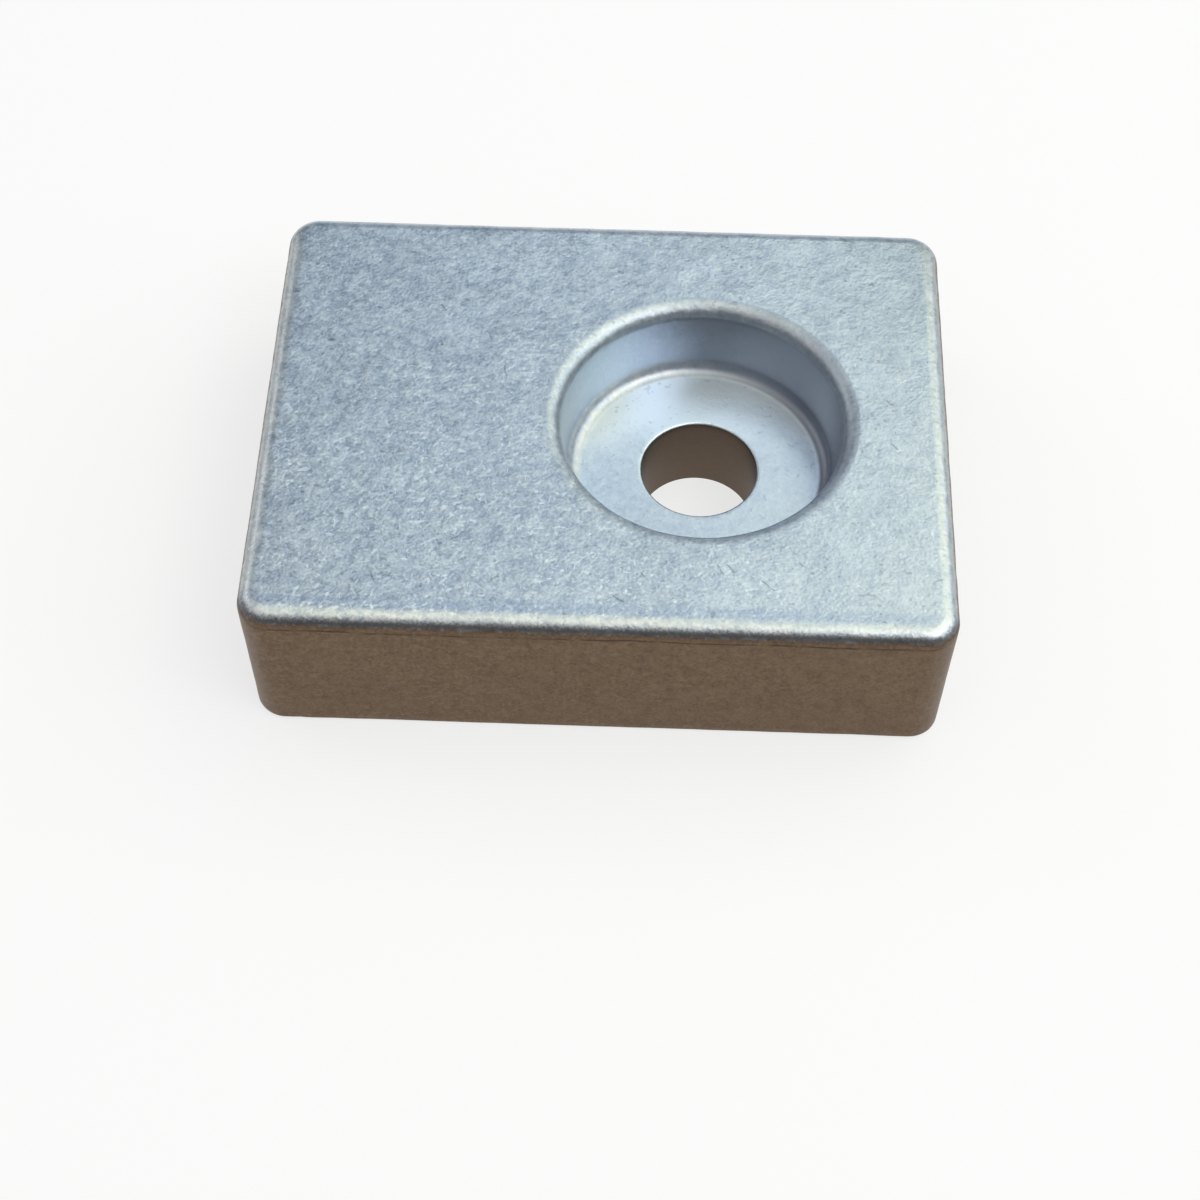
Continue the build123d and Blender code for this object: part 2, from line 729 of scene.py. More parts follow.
PALE_SCRATCHES = (
    Scratch((-22.4, 4.7), (-20.9, 3.9), 0.07),
    Scratch((-20.9, 3.9), (-19.3, 3.6), 0.07),
    Scratch((-20.2, 15.8), (-19.0, 16.9), 0.1),
    Scratch((-8.9, -14.0), (-7.5, -11.8), 0.06),
    Scratch((-8.2, -14.0), (-6.8, -12.0), 0.06),
    Scratch((-18.7, -11.7), (-17.9, -11.1), 0.1),
    Scratch((13.7, 3.6), (16.0, 4.4), 0.06),
    Scratch((-15.3, -9.6), (-15.1, -9.6), 0.22),
    Scratch((-15.5, -15.5), (-15.2, -15.5), 0.12),
    Scratch((-14.6, -15.6), (-14.3, -15.6), 0.12),
    Scratch((-26.0, 9.0), (-25.6, 8.8), 0.16),
    Scratch((-21.6, 14.0), (-21.3, 14.4), 0.12),
)


class Tint(Enum):
    """Colours of the metal, of what lies on it and of painted light, shade and reflection, in red, green,
    blue and cover.
    """

    PALE = (0.70, 0.775, 0.825, 1.0)
    DEEP = (0.42, 0.48, 0.54, 1.0)
    # Pale flecks and nicks, and painted light on the seat.
    FLECK = (0.88, 0.92, 0.93, 1.0)
    PIT = (0.25, 0.29, 0.33, 1.0)
    # Painted brown reflection of a brown surface, on the sides and in the bore, in three tones.
    OXIDE = (0.116, 0.076, 0.046, 1.0)
    BROWN_REFLECTION_PALE = (0.194, 0.130, 0.081, 1.0)
    BROWN_REFLECTION_DEEP = (0.148, 0.112, 0.086, 1.0)
    SEAM = (0.050, 0.034, 0.026, 1.0)
    # Painted dark shade, below the top edge and at the foot of the recess wall.
    GRIME = (0.100, 0.085, 0.092, 1.0)
    # Rubbed metal on edges and the seat, partly real wear and partly painted cream highlight.
    WORN = (0.84, 0.81, 0.72, 1.0)
    # Painted blue shade, on the recess wall and along the face's front.
    TARNISH = (0.31, 0.39, 0.55, 1.0)
    # Painted grey shade on the recess wall.
    FILMED = (0.26, 0.25, 0.255, 1.0)


@dataclass
class Ground:
    """What the casting's finishes are worked out from, at each point of its skin.

    Attributes:
        sheet: The material's node sheet.
        face_height: Height of the face above the back, in millimetres.
        to_far_end: Where the end away from the hole begins and is reached, along the block.
        to_hole_end: Where the hole's end begins and is reached.
        to_far_side: Where the far side begins and is reached, across the block.
        haze_cloud: Broad, faint changes of tone.
        mottle_cloud: Blots of the cast metal.
        grain_cloud: Beaten grain.
        fine_cloud: The finest grain.
        ragged: How far the grain moves the line where the face ends, in millimetres.
        place: Coordinates, in millimetres.
        normal: The surface's normal.
        along: Distance along the block from the hole, to the hole's end.
        across: Distance across the block from the hole, to the far side.
        up: Height above the back.
        drop: Depth below the face, made ragged by the grain.
    """

    sheet: Sheet
    face_height: float
    to_far_end: Span = (14.0, -22.0)
    to_hole_end: Span = (-5.0, 8.0)
    to_far_side: Span = (-9.0, 9.0)
    haze_cloud: Cloud = Cloud(12.0, 2.0)
    mottle_cloud: Cloud = Cloud(3.0, 1.0, 1.0)
    grain_cloud: Cloud = Cloud(0.85, 2.0, 0.95)
    fine_cloud: Cloud = Cloud(0.22, 1.0, 0.9)
    ragged: float = 0.12
    place: bpy.types.NodeSocket = field(init=False)
    normal: bpy.types.NodeSocket = field(init=False)
    along: Signal = field(init=False)
    across: Signal = field(init=False)
    up: Signal = field(init=False)
    far_end: Signal = field(init=False)
    hole_end: Signal = field(init=False)
    far_side: Signal = field(init=False)
    near_side: Signal = field(init=False)
    tumbled: Signal = field(init=False)
    oxide: Signal = field(init=False)
    wear: Signal = field(init=False)
    dull: Signal = field(init=False)
    clean: Signal = field(init=False)
    roughness: Signal = field(init=False)
    haze: Signal = field(init=False)
    mottle: Signal = field(init=False)
    grain: Signal = field(init=False)
    fine: Signal = field(init=False)
    drop: Signal = field(init=False)

    def __post_init__(self) -> None:
        """Adds the nodes that several finishes read."""
        sheet = self.sheet
        self.place = sheet.scaled(sheet.node("ShaderNodeTexCoord").outputs["Object"], 1.0 / MM)
        self.normal = sheet.node("ShaderNodeNewGeometry").outputs["Normal"]
        self.along, self.across, self.up = sheet.split(self.place)
        self.far_end = self.along.rise(*self.to_far_end)
        self.hole_end = self.along.rise(*self.to_hole_end)
        self.far_side = self.across.rise(*self.to_far_side)
        self.near_side = 1.0 - self.far_side
        self.tumbled = sheet.attribute("tumbled")
        self.oxide = sheet.attribute("oxide")
        self.wear = sheet.attribute("wear")
        self.dull = sheet.attribute("dull")
        self.clean = sheet.attribute("clean")
        self.roughness = sheet.attribute("roughness")
        self.haze = self.swing(self.haze_cloud)
        self.mottle = self.swing(self.mottle_cloud)
        self.grain = self.swing(self.grain_cloud)
        self.fine = self.swing(self.fine_cloud)
        self.drop = self.face_height - self.up + self.grain * self.ragged

    def swing(self, cloud: Cloud) -> Signal:
        """A cloud about 0."""
        return cloud.draw(self.sheet, self.place) - CLOUD_MEAN

    def cover(self, share: Any, metal: bpy.types.NodeSocket, tint: Tint) -> bpy.types.NodeSocket:
        """Lays a share of a tint over the metal."""
        return self.sheet.blend(share, metal, tint.value)


@dataclass(frozen=True)
class Swing:
    """How far a cloud moves the metal's tone.

    Attributes:
        everywhere: How far all over the block.
        far_end: How much farther at the end away from the hole.
        near_side: How much farther at the front.
        far_side: How much farther at the far side.
    """

    everywhere: float
    far_end: float = 0.0
    near_side: float = 0.0
    far_side: float = 0.0

    def at(self, ground: Ground) -> Signal:
        """The swing at each point of the skin."""
        return (self.everywhere + ground.far_end * self.far_end + ground.near_side * self.near_side
                + ground.far_side * self.far_side)


@dataclass(frozen=True)
class MetalToneLightAndShade:
    """The metal's own tone, with painted light on the seat and painted shade at the front and in the far
    right corner.

    Attributes:
        grain: Swing of the beaten grain.
        fine: Swing of the finest grain.
        mottle: Swing of the blots.
        haze: Swing of the broad haze.
        untumbled: Share of the grain that metal has without tumbling.
        seat_lift: How much paler the painted light makes the seat at its front, where it is 1 paler at the
            back.
        seat_back: Where the seat's back begins and is reached.
        near_shade: How much painted shade darkens the metal at the front.
        corner_along: Where the far right corner begins and is reached, along the block.
        corner_across: The same, across the block.
        corner_shade: How much painted shade darkens the metal there.
    """

    grain: Swing = Swing(1.5, far_end=0.9, near_side=-0.25)
    fine: Swing = Swing(0.1, far_end=0.5, near_side=0.7)
    mottle: Swing = Swing(0.35, far_side=0.3)
    haze: float = 0.45
    untumbled: float = 0.25
    seat_lift: float = 0.2
    seat_back: Span = (0.0, 8.0)
    near_shade: float = 0.12
    corner_along: Span = (4.0, 16.0)
    corner_across: Span = (0.0, 14.0)
    corner_shade: float = 0.25

    def lay(self, ground: Ground) -> bpy.types.NodeSocket:
        """Works out the metal's colour, with painted light on the seat and painted shade at the front and in
        the far right corner.

        Args:
            ground: The skin it is on.

        Returns:
            The colour.
        """
        beaten = (ground.grain * self.grain.at(ground) + ground.fine * self.fine.at(ground)
                  + ground.mottle * self.mottle.at(ground)) * ground.tumbled.at_least(self.untumbled)
        # Painted light on the seat, strongest at its back.
        seat = ground.clean * ground.across.rise(*self.seat_back).at_least(self.seat_lift)
        # Painted shade at the front and in the far right corner.
        corner = ground.along.rise(*self.corner_along) * ground.across.rise(*self.corner_across)
        tone = (beaten + ground.haze * self.haze + CLOUD_MEAN + seat
                - ground.near_side * self.near_shade - corner * self.corner_shade)
        return ground.sheet.blend(tone, Tint.DEEP.value, Tint.PALE.value)


@dataclass(frozen=True)
class RecessLightAndShade:
    """Painted light on the recess's seat and painted shade on its wall.

    Attributes:
        bright_back: Where the seat's painted light begins and is reached, across the block.
        bright: Share of painted light there.
        highlight_left: Where the seat's painted highlight begins and is reached, along the block.
        highlight_back: The same, across the block.
        highlight: Share of painted highlight there.
        shade_back: Where the wall's painted shade begins and is full, across the block.
        tarnish: Share of painted blue shade on the wall.
        filmed: Share of painted grey shade at the hole's end.
        grime: Share of painted dark shade at the wall's foot there.
    """

    bright_back: Span = (2.0, 9.0)
    bright: float = 0.5
    highlight_left: Span = (-3.0, -8.0)
    highlight_back: Span = (-1.0, 5.0)
    worn: float = 0.5
    shade_back: Span = (-9.0, -3.0)
    tarnish: float = 0.6
    filmed: float = 0.5
    grime: float = 0.35

    def lay(self, ground: Ground, metal: bpy.types.NodeSocket) -> bpy.types.NodeSocket:
        """Paints light on the seat and blue shade on the wall.

        Args:
            ground: The skin they are on.
            metal: The metal's colour.

        Returns:
            The colour with both.
        """
        # Painted light on the seat's back and a painted highlight on its left.
        bright = ground.clean * ground.across.rise(*self.bright_back)
        worn = ground.clean * ground.along.rise(*self.highlight_left) * ground.across.rise(*self.highlight_back)
        metal = ground.cover(bright * self.bright, metal, Tint.FLECK)
        metal = ground.cover(worn * self.worn, metal, Tint.WORN)
        # Painted blue shade on the wall's far part.
        return ground.cover(self._film(ground) * self.tarnish, metal, Tint.TARNISH)

    def darken(self, ground: Ground, metal: bpy.types.NodeSocket) -> bpy.types.NodeSocket:
        """Lays the painted grey shade on the wall and the painted dark shade at its foot, at the hole's end.

        Args:
            ground: The skin they are on.
            metal: The metal's colour.

        Returns:
            The colour with both.
        """
        # Painted grey shade on the wall and painted dark shade at its foot, at the hole's end.
        painted_layer = self._film(ground) * ground.hole_end
        metal = ground.cover(painted_layer * self.filmed, metal, Tint.FILMED)
        return ground.cover(painted_layer * ground.wear * self.grime, metal, Tint.GRIME)

    def _film(self, ground: Ground) -> Signal:
        """Where the wall gets its painted shade."""
        return ground.dull * ground.across.rise(*self.shade_back)


@dataclass(frozen=True)
class Flecks:
    """Pale and dark flecks that the tumbler beat into the skin, the pale ones mostly far from the hole.

    Attributes:
        patch_cloud: Patches that have more pale flecks and fewer dark ones.
        patch_edge: Where in the cloud a patch begins and is full.
        pale_cloud: Pale flecks.
        pale_edge: Where in the cloud a pale fleck begins and is full.
        headings: Angle, stretch and shift in millimetres of each set of pale flecks.
        pale_apart: Share of pale flecks outside the patches.
        pale_at_hole: Share of pale flecks at the hole's end.
        dark_cloud: Dark flecks.
        dark_edge: Where in the cloud a dark fleck begins and is full.
        dark_shift: Shift of the dark flecks, in millimetres.
        dark_missing: Share of dark flecks that the patches lack.
    """

    patch_cloud: Cloud = Cloud(4.0, 2.0)
    patch_edge: Span = (0.36, 0.6)
    pale_cloud: Cloud = Cloud(0.38, 1.0)
    pale_edge: Span = (0.63, 0.7)
    headings: tuple[tuple[float, float, float], ...] = ((0.9, 1.8, 0.0), (0.15, 2.2, 31.0), (2.2, 1.2, 57.0))
    pale_apart: float = 0.3
    pale_at_hole: float = 0.25
    dark_cloud: Cloud = Cloud(0.45, 1.0)
    dark_edge: Span = (0.35, 0.28)
    dark_shift: tuple[float, float, float] = (17.0, 5.0, 9.0)
    dark_missing: float = 0.5

    def draw(self, ground: Ground) -> tuple[Signal, Signal]:
        """Adds the flecks.

        Args:
            ground: The skin they are on.

        Returns:
            The pale flecks and the dark ones, 1 on a fleck and 0 elsewhere.
        """
        sheet = ground.sheet
        patches = self.patch_cloud.draw(sheet, ground.place).rise(*self.patch_edge)
        pale = sum(self._heading(ground, *heading) for heading in self.headings)
        pale = pale * patches.at_least(self.pale_apart) * ground.far_end.at_least(self.pale_at_hole)
        shifted = sheet.vector("ADD", ground.place, self.dark_shift)
        dark = self.dark_cloud.draw(sheet, shifted).rise(*self.dark_edge)
        return pale, dark * (1.0 - patches * self.dark_missing)

    def _heading(self, ground: Ground, angle: float, stretch: float, shift: float) -> Signal:
        """Adds pale flecks that are stretched along one heading.

        Args:
            ground: The skin they are on.
            angle: The heading, in radians from the block's length.
            stretch: How many times longer than wide they are.
            shift: Shift of the pattern, in millimetres.

        Returns:
            1 on a fleck and 0 elsewhere.
        """
        turned = ground.sheet.node("ShaderNodeMapping", {"vector_type": "TEXTURE"},
                                   {"Vector": ground.place, "Location": (shift, shift, 0.0),
                                    "Rotation": (0.0, 0.0, angle), "Scale": (stretch, 1.0, 1.0)})
        return self.pale_cloud.draw(ground.sheet, turned.outputs["Vector"]).rise(*self.pale_edge)


@dataclass(frozen=True)
class Nicks:
    """Scratches, a little ragged and unsteady, and short nicks, mostly far from the hole.

    Attributes:
        drift_scale: How many times in a millimetre the scratches waver.
        drift: How far they waver along the block, across it and upward, in millimetres.
        ragged_cloud: Where they are weak.
        ragged_edge: Where in the cloud they begin to show and are full.
        weakest: Share of them that shows where they are weakest.
        long_nicks: The longer nicks.
        long_share: How strong they are.
        short_nicks: The shorter nicks.
        short_share: How strong they are at the hole's end.
        short_far_share: How much stronger at the other end.
    """

    drift_scale: float = 1.1
    drift: tuple[float, float, float] = (0.5, 0.5, 0.0)
    ragged_cloud: Cloud = Cloud(0.4, 1.0)
    ragged_edge: Span = (0.3, 0.55)
    weakest: float = 0.4
    long_nicks: Marks = Marks(2.6, 0.5, 0.05, 0.7, (23.9, 16.73, 31.07))
    long_share: float = 0.5
    short_nicks: Marks = Marks(0.95, 0.3, 0.05, 0.6, (41.0, 28.7, 53.3))
    short_share: float = 0.15
    short_far_share: float = 0.75

    def draw(self, ground: Ground) -> tuple[Signal, Signal]:
        """Adds the scratches and nicks.

        Args:
            ground: The skin they are on.

        Returns:
            The pale ones and the dark ones, 1 on a scratch and 0 elsewhere.
        """
        sheet = ground.sheet
        noise_node = sheet.node("ShaderNodeTexNoise", {"noise_dimensions": "3D"},
                                {"Vector": ground.place, "Scale": self.drift_scale, "Detail": 1.0})
        drift = sheet.vector("SUBTRACT", noise_node.outputs["Color"], (CLOUD_MEAN,) * 3)
        unsteady = sheet.vector("ADD", ground.place, sheet.vector("MULTIPLY", drift, self.drift))
        strength = self.ragged_cloud.draw(sheet, ground.place).rise(*self.ragged_edge)
        strength = strength.at_least(self.weakest)
        pale = sum(scratch.draw(sheet, unsteady, ground.face_height) for scratch in PALE_SCRATCHES)
        dark = sum(scratch.draw(sheet, unsteady, ground.face_height) for scratch in DARK_SCRATCHES)
        pale = pale + self.long_nicks.draw(sheet, unsteady, ground.normal) * self.long_share
        pale = pale + (self.short_nicks.draw(sheet, unsteady, ground.normal)
                       * (self.short_share + ground.far_end * self.short_far_share))
        return pale * strength, dark * strength


@dataclass(frozen=True)
class TumblingLightAndShade:
    """What tumbling and handling left: flecks, nicks and rubbed edges, the edges partly painted highlight;
    with a painted shade along the front.

    Attributes:
        shade_place: Where the front's painted shade is, across the block.
        shade_edge: Distance from there at which the shade begins and is full.
        shade: Share of painted blue shade in it.
        fleck: Share of bright metal in a pale fleck.
        nick: Share of bright metal in a pale scratch.
        near_more: How much more of it there is at the front.
        pit_least: Share of dark metal in a dark fleck without tumbling.
        pit: How much more of it tumbling gives.
        scratch: Share of dark metal in a dark scratch.
        rub_edge: Drop below the face at which the rubbing and painted highlight begin and are full.
        rub_front: Where the recess's edges begin to get less rubbing and painted highlight and get none,
            across the block.
        rub: Share of rubbed metal and painted highlight on an edge.
        rub_in_hollows: How much more of it there is where the recess has its painted shade.
        rub_grain: How far the grain moves it.
    """

    shade_place: float = -16.5
    shade_edge: Span = (0.6, 0.15)
    shade: float = 0.3
    fleck: float = 0.45
    nick: float = 0.5
    near_more: float = 0.3
    pit_least: float = 0.1
    pit: float = 0.5
    scratch: float = 0.75
    rub_edge: Span = (0.0, 0.12)
    rub_front: Span = (-3.0, -9.0)
    rub: float = 0.3
    rub_in_hollows: float = 0.1
    rub_grain: float = 1.1

    def lay(self, ground: Ground, metal: bpy.types.NodeSocket, flecks: tuple[Signal, Signal],
            nicks: tuple[Signal, Signal]) -> bpy.types.NodeSocket:
        """Lays the marks over the metal, with the painted shade along the front and the rubbed edges'
        painted highlight.

        Args:
            ground: The skin they are on.
            metal: The metal's colour.
            flecks: The pale flecks and the dark ones.
            nicks: The pale scratches and the dark ones.

        Returns:
            The colour with the marks.
        """
        more = ground.near_side * self.near_more
        # Painted blue shade along the face's front edge, above the highlight.
        shade = abs(ground.across - self.shade_place).rise(*self.shade_edge)
        metal = ground.cover(shade * ground.tumbled * self.shade, metal, Tint.TARNISH)
        metal = ground.cover(flecks[0] * ground.tumbled * (self.fleck + more), metal, Tint.FLECK)
        metal = ground.cover(flecks[1] * (self.pit_least + ground.tumbled * self.pit), metal, Tint.PIT)
        metal = ground.cover(nicks[0] * ground.tumbled * (self.nick + more), metal, Tint.FLECK)
        metal = ground.cover(nicks[1] * self.scratch, metal, Tint.PIT)
        # Rubbed edges: partly real wear, partly painted highlight.
        rubbed_and_lit = (ground.wear * ground.drop.rise(*self.rub_edge)
                  * (1.0 - ground.dull * ground.across.rise(*self.rub_front))
                  * (1.0 - ground.dull * ground.hole_end))
        share = self.rub + ground.dull * self.rub_in_hollows + ground.grain * self.rub_grain
        return ground.cover(rubbed_and_lit * share, metal, Tint.WORN)


@dataclass(frozen=True)
class BrownReflection:
    """Brown skin of the sides and the bore, as they left the mould, with grime along its upper edge.

    Attributes:
        tone: Tone of the painted brown reflection, from dark to pale.
        grain: How far the grain moves the tone.
        mottle: How far the blots move it.
        drawn: How far the mould's lines move it.
        flecks: How far pale flecks move it.
        bore: Share of the deeper, greyer painted brown reflection in the bore.
        upright_cloud: Upright lines where the block was drawn from its mould.
        upright_stretch: How its coordinates are squeezed.
        level_cloud: Level lines from handling.
        level_stretch: How its coordinates are squeezed.
        seam: Share of the dark line where the mould's halves met.
        seam_drop: How far below the face that line is, in millimetres.
        seam_edge: Distance from it at which it begins and is full.
        seam_cloud: Where it is broken.
        seam_gap: Where in the cloud it begins and is full.
        waver_cloud: How it wavers.
        waver: How far it wavers, in millimetres.
        top_edge: Drop below the face at which the painted brown reflection begins and is full.
        top_ragged: How far the grain moves that edge.
        rim: Share of the oxide mask at which the painted brown reflection begins and is full.
        rim_ragged: How far the grain moves that share.
        dark_band_drop: How far below the face the painted dark shade band is.
        dark_band_edge: Distance from there at which it begins and is full.
        dark_band_ragged: How far the finest grain moves that edge.
        grime: Share of painted dark shade.
        dark_band_front: Where the front begins and is reached, across the block.
        front_more: How much more painted dark shade there is at the front.
    """

    tone: float = 0.48
    grain: float = 1.7
    mottle: float = 0.2
    drawn: float = 0.35
    flecks: float = 0.9
    bore: float = 0.8
    upright_cloud: Cloud = Cloud(0.45, 2.0, 0.6)
    upright_stretch: tuple[float, float, float] = (1.0, 1.0, 0.12)
    level_cloud: Cloud = Cloud(0.4, 2.0, 0.6)
    level_stretch: tuple[float, float, float] = (0.15, 0.15, 1.0)
    seam: float = 0.8
    seam_drop: float = 1.22
    seam_edge: Span = (0.15, 0.03)
    seam_cloud: Cloud = Cloud(1.6, 3.0)
    seam_gap: Span = (0.25, 0.6)
    waver_cloud: Cloud = Cloud(5.0, 1.0)
    waver: float = 0.3
    top_edge: Span = (0.4, 0.8)
    top_ragged: float = 0.4
    rim: Span = (0.35, 0.65)
    rim_ragged: float = 0.9
    dark_band_drop: float = 0.55
    dark_band_edge: Span = (0.38, 0.06)
    dark_band_ragged: float = 0.5
    grime: float = 0.12
    dark_band_front: Span = (-15.0, -17.0)
    front_more: float = 0.53

    def lay(self, ground: Ground, metal: bpy.types.NodeSocket, flecks: Signal) -> bpy.types.NodeSocket:
        """Lays the painted brown reflection and the painted dark shade band over the metal.

        Args:
            ground: The skin they are on.
            metal: The metal's colour.
            flecks: The pale flecks.

        Returns:
            The colour with the painted brown reflection and the painted dark shade band.
        """
        tone = ((ground.grain + ground.fine) * self.grain + ground.mottle * self.mottle
                + self._drawn(ground) * self.drawn + flecks * self.flecks + self.tone)
        # Painted brown reflection on the sides, deeper and greyer in the bore.
        painted_layer = ground.sheet.blend(tone, Tint.OXIDE.value, Tint.BROWN_REFLECTION_PALE.value)
        painted_layer = ground.cover(ground.dull * self.bore, painted_layer, Tint.BROWN_REFLECTION_DEEP)
        painted_layer = ground.cover(self._seam(ground) * self.seam, painted_layer, Tint.SEAM)
        reflected_brown = ((ground.drop + ground.grain * self.top_ragged).rise(*self.top_edge)
                   * (ground.oxide + ground.grain * self.rim_ragged).rise(*self.rim))
        metal = ground.sheet.blend(reflected_brown, metal, painted_layer)
        # Painted dark shade band just below the top edge's highlight.
        depth = abs(ground.drop - self.dark_band_drop) + ground.fine * self.dark_band_ragged
        share = self.grime + ground.across.rise(*self.dark_band_front) * self.front_more
        return ground.cover(depth.rise(*self.dark_band_edge) * ground.oxide * share, metal, Tint.GRIME)

    def _seam(self, ground: Ground) -> Signal:
        """The fine dark line where the mould's halves met, just below the rounded top edge.

        Args:
            ground: The skin it is on.

        Returns:
            1 on the line and 0 elsewhere.
        """
        broken = self.seam_cloud.draw(ground.sheet, ground.place).rise(*self.seam_gap)
        height = ground.up + ground.swing(self.waver_cloud) * self.waver
        return abs(height - (ground.face_height - self.seam_drop)).rise(*self.seam_edge) * broken

    def _drawn(self, ground: Ground) -> Signal:
        """Fine upright lines from the mould, crossed by level ones from handling.

        Args:
            ground: The skin they are on.

        Returns:
            The lines, about 0.
        """
        upright = self._stretched(ground, self.upright_cloud, self.upright_stretch)
        level = self._stretched(ground, self.level_cloud, self.level_stretch)
        return (upright - CLOUD_MEAN) + (level - CLOUD_MEAN)

    @staticmethod
    def _stretched(ground: Ground, cloud: Cloud, stretch: tuple[float, float, float]) -> Signal:
        """A cloud on squeezed coordinates."""
        turned = ground.sheet.node("ShaderNodeMapping", {}, {"Vector": ground.place, "Scale": stretch})
        return cloud.draw(ground.sheet, turned.outputs["Vector"])


@dataclass(frozen=True)
class CastMetal:
    """Satin cast and tumbled anode metal, with painted light, painted shade and a painted brown reflection
    in its colour.

    Attributes:
        face_height: Height of the face above the back, in millimetres.
        relief: Depth of the beaten grain, in metres.
        grain_sheen: How far the grain moves the roughness.
        untumbled_relief: Share of the relief that metal has without tumbling.
        mottle_relief: Depth of the blots, as a share of the grain's.
    """

    face_height: float
    relief: float = 0.045 * MM
    grain_sheen: float = 0.25
    untumbled_relief: float = 0.06
    mottle_relief: float = 0.8

    def make(self) -> bpy.types.Material:
        """Builds the material.

        Returns:
            The material.
        """
        sheet = Sheet("cast_metal")
        ground = Ground(sheet, self.face_height)
        flecks = Flecks().draw(ground)
        nicks = Nicks().draw(ground)
        recess = RecessLightAndShade()

        metal = MetalToneLightAndShade().lay(ground)
        metal = recess.lay(ground, metal)
        metal = TumblingLightAndShade().lay(ground, metal, flecks, nicks)
        metal = recess.darken(ground, metal)
        metal = BrownReflection().lay(ground, metal, flecks[0])

        rough = ground.roughness + ground.grain * self.grain_sheen * ground.tumbled
        height = (ground.grain * ground.tumbled.at_least(self.untumbled_relief)
                  + ground.mottle * ground.tumbled * self.mottle_relief)
        bump = sheet.node("ShaderNodeBump", {},
                          {"Strength": 1.0, "Distance": self.relief, "Height": height})
        shader = sheet.node("ShaderNodeBsdfPrincipled", {},
                            {"Base Color": metal, "Metallic": 1.0, "Roughness": rough,
                             "Normal": bump.outputs["Normal"]})
        sheet.node("ShaderNodeOutputMaterial", {}, {"Surface": shader.outputs["BSDF"]})
        return sheet.material


@dataclass(frozen=True)
class PaleFloor:
    """Plain pale studio floor.

    Attributes:
        colour: Its own colour.
        white: The white that the camera and shiny metal see in it.
        whitened: Share of that white.
        half_size: Half its length and width.
        drop: How far it lies below the block.
    """

    colour: tuple[float, float, float, float] = (0.93, 0.93, 0.93, 1.0)
    white: tuple[float, float, float, float] = (1.0, 1.0, 1.0, 1.0)
    whitened: float = 0.7
    half_size: float = 6.0
    drop: float = 0.05 * MM

    def build(self) -> bpy.types.Object:
        """Makes the floor and its material.

        Returns:
            The floor.
        """
        bm = bmesh.new()
        bmesh.ops.create_grid(bm, x_segments=1, y_segments=1, size=self.half_size)
        bmesh.ops.translate(bm, verts=bm.verts, vec=(0.0, 0.0, -self.drop))
        mesh = bpy.data.meshes.new("studio_floor")
        bm.to_mesh(mesh)
        bm.free()
        floor = bpy.data.objects.new("studio_floor", mesh)
        bpy.context.scene.collection.objects.link(floor)
        sheet = Sheet("pale_floor")
        cloth = sheet.node("ShaderNodeBsdfPrincipled", {}, {"Base Color": self.colour, "Roughness": 1.0,
                                                            "Specular IOR Level": 0.0})
        glow = sheet.node("ShaderNodeEmission", {}, {"Color": self.white, "Strength": 1.0})
        rays = sheet.node("ShaderNodeLightPath").outputs
        seen = sheet.signal(rays["Is Camera Ray"]) + sheet.signal(rays["Is Glossy Ray"])
        seen = seen + sheet.signal(rays["Is Transmission Ray"])
        mixed = sheet.node("ShaderNodeMixShader", {}, {0: seen * self.whitened, 1: cloth.outputs["BSDF"],
                                                       2: glow.outputs["Emission"]})
        sheet.node("ShaderNodeOutputMaterial", {}, {"Surface": mixed.outputs["Shader"]})
        floor.data.materials.append(sheet.material)
        return floor


@dataclass(frozen=True)
class SoftLamp:
    """One rectangular studio lamp.

    Attributes:
        name: The lamp's name.
        azimuth: Direction it shines from, in degrees from the front, positive to the right.
        elevation: Its height above the floor, in degrees.
        spread: How wide and how tall it looks from the block, in degrees.
        glow: Its brightness in red, green and blue, where 1 shows as white.
        distance: Its distance from the block, in metres.
        white_power: Power for each square metre of a lamp that shows as white.
    """

    name: str
    azimuth: float
    elevation: float
    spread: tuple[float, float]
    glow: tuple[float, float, float]
    distance: float = 0.6
    white_power: float = 4.0

    def build(self, target: Vector) -> bpy.types.Object:
        """Places the lamp.

        Args:
            target: The point it shines at.

        Returns:
            The lamp.
        """
        data = bpy.data.lights.new(self.name, "AREA")
        data.shape = "RECTANGLE"
        data.size, data.size_y = (2 * self.distance * math.tan(math.radians(angle / 2))
                                  for angle in self.spread)
        brightest = max(self.glow)
        data.energy = self.white_power * brightest * data.size * data.size_y
        data.color = [part / brightest for part in self.glow]
        lamp = bpy.data.objects.new(self.name, data)
        turn, lift = math.radians(self.azimuth), math.radians(self.elevation)
        aim = Vector((math.sin(turn) * math.cos(lift), -math.cos(turn) * math.cos(lift), math.sin(lift)))
        lamp.location = target + aim * self.distance
        lamp.rotation_euler = aim.to_track_quat("Z", "Y").to_euler()
        bpy.context.scene.collection.objects.link(lamp)
        return lamp


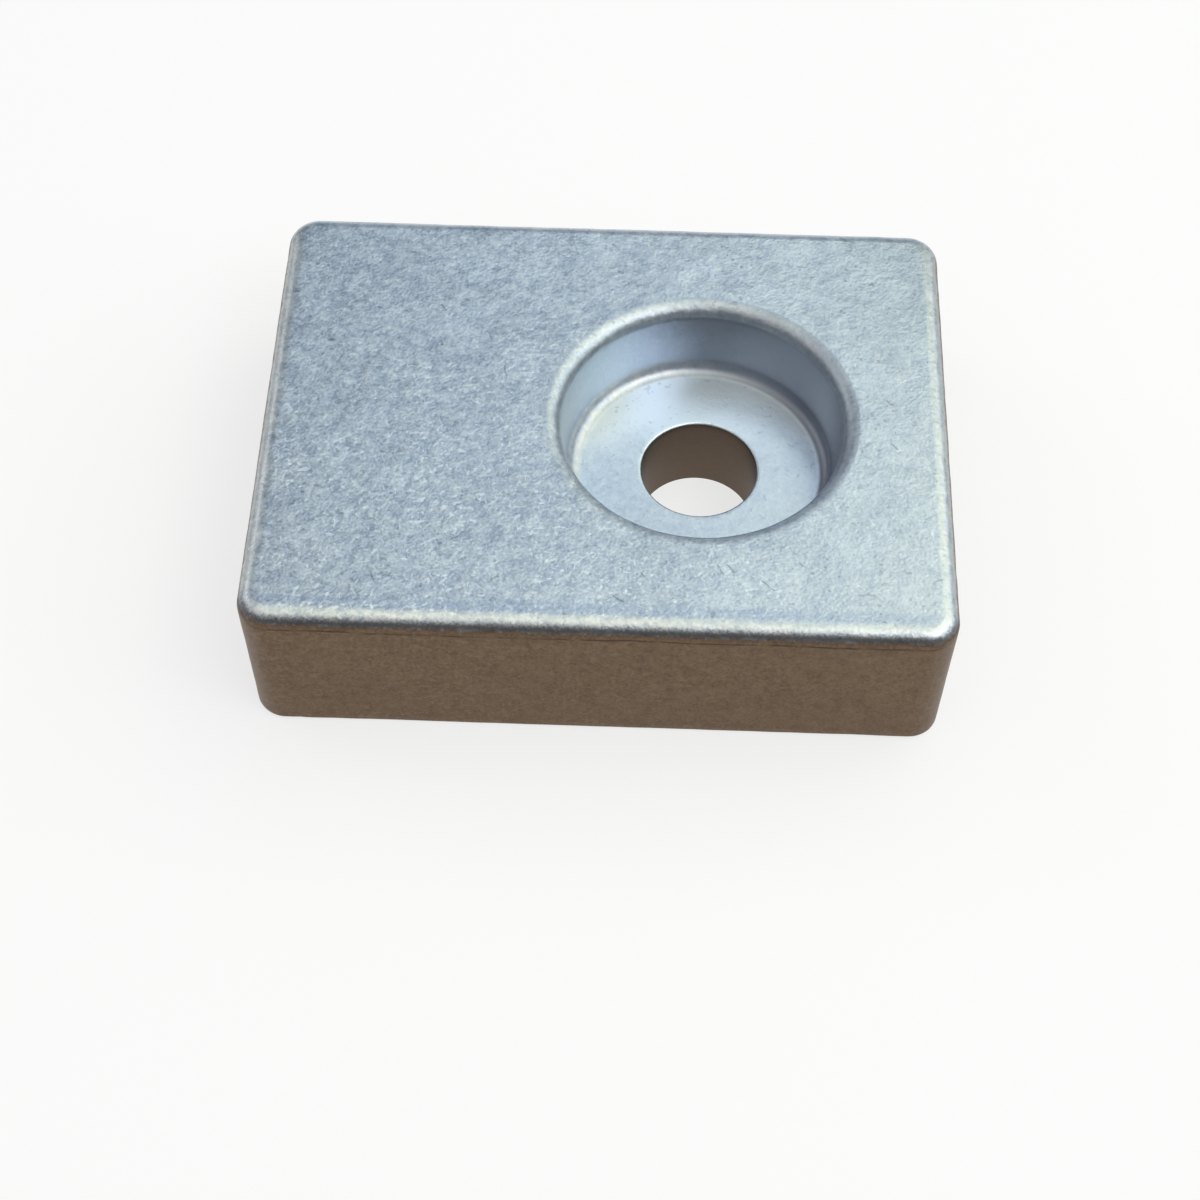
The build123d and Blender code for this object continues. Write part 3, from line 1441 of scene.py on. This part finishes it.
@dataclass(frozen=True)
class Studio:
    """Soft light from above, warmest from the right, over a pale floor.

    Attributes:
        sky: Colour of the faint light from all round.
        sky_strength: Its strength.
        lamps: The lamps.
    """

    sky: tuple[float, float, float, float] = (1.0, 1.0, 1.0, 1.0)
    sky_strength: float = 0.04
    lamps: tuple[SoftLamp, ...] = (
        SoftLamp("key_front", 45.0, 54.0, (26.0, 24.0), (2.85, 2.9, 3.1)),
        SoftLamp("key", 112.0, 54.0, (72.0, 24.0), (1.5, 1.5, 1.15)),
        SoftLamp("top", 0.0, 90.0, (44.0, 44.0), (0.95, 0.95, 0.8)),
        SoftLamp("back", 180.0, 54.0, (26.0, 24.0), (0.55, 0.7, 0.95)),
        SoftLamp("back_low", 180.0, 9.0, (60.0, 16.0), (0.45, 0.55, 0.75)),
        SoftLamp("left", 292.0, 50.0, (72.0, 40.0), (0.45, 0.45, 0.48)),
        SoftLamp("left_low", 240.0, 30.0, (30.0, 24.0), (1.1, 1.15, 1.2)),
        SoftLamp("right_low", 100.0, 30.0, (72.0, 24.0), (1.2, 1.35, 1.45)),
    )

    def build(self, target: Vector) -> None:
        """Sets the world and places the lamps.

        Args:
            target: The point that the lamps shine at.
        """
        world = bpy.data.worlds.new("studio_sky")
        bpy.context.scene.world = world
        world.use_nodes = True
        background = world.node_tree.nodes["Background"]
        background.inputs["Color"].default_value = self.sky
        background.inputs["Strength"].default_value = self.sky_strength
        for lamp in self.lamps:
            lamp.build(target)
            log.info("lamp %s", lamp.name)


@dataclass(frozen=True)
class Camera:
    """The photograph's point of view.

    Attributes:
        place: Where the camera stands.
        aim: The point it looks at.
        roll: How far it is turned about its line of sight.
        lens: Its focal length, in millimetres.
        sensor: The width of its sensor, in millimetres.
        near: Distance from which it sees things.
    """

    place: tuple[float, float, float] = (-4.32 * MM, -101.16 * MM, 137.82 * MM)
    aim: tuple[float, float, float] = (-6.72 * MM, -11.32 * MM, 6.0 * MM)
    roll: float = math.radians(0.53)
    lens: float = 69.08
    sensor: float = 36.0
    near: float = 10 * MM

    def build(self) -> bpy.types.Object:
        """Places the camera.

        Returns:
            The camera.
        """
        data = bpy.data.cameras.new("camera")
        data.lens, data.sensor_width, data.clip_start = self.lens, self.sensor, self.near
        camera = bpy.data.objects.new("camera", data)
        sight = Vector(self.aim) - Vector(self.place)
        turn = sight.to_track_quat("-Z", "Y").to_matrix() @ Matrix.Rotation(self.roll, 3, "Z")
        camera.matrix_world = Matrix.Translation(self.place) @ turn.to_4x4()
        bpy.context.scene.collection.objects.link(camera)
        bpy.context.scene.camera = camera
        return camera


def main() -> None:
    """Builds the anode, its studio and the camera."""
    logging.basicConfig(level=logging.INFO, format="%(name)s: %(message)s")
    mounts = {mount["name"]: mount for mount in frame["record"]["mounts"]}
    low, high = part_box("anode_block")
    casting = AnodeCasting(mounts, low, high).build()
    casting.data.materials.append(CastMetal(face_height=high.z / MM).make())
    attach(casting, "root")
    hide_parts("anode_block")
    log.info("%s: %d faces", casting.name, len(casting.data.polygons))

    PaleFloor().build()
    Studio().build((low + high) / 2)
    Camera().build()
    bpy.context.scene.view_settings.view_transform = "Standard"


if __name__ == "__main__":
    main()
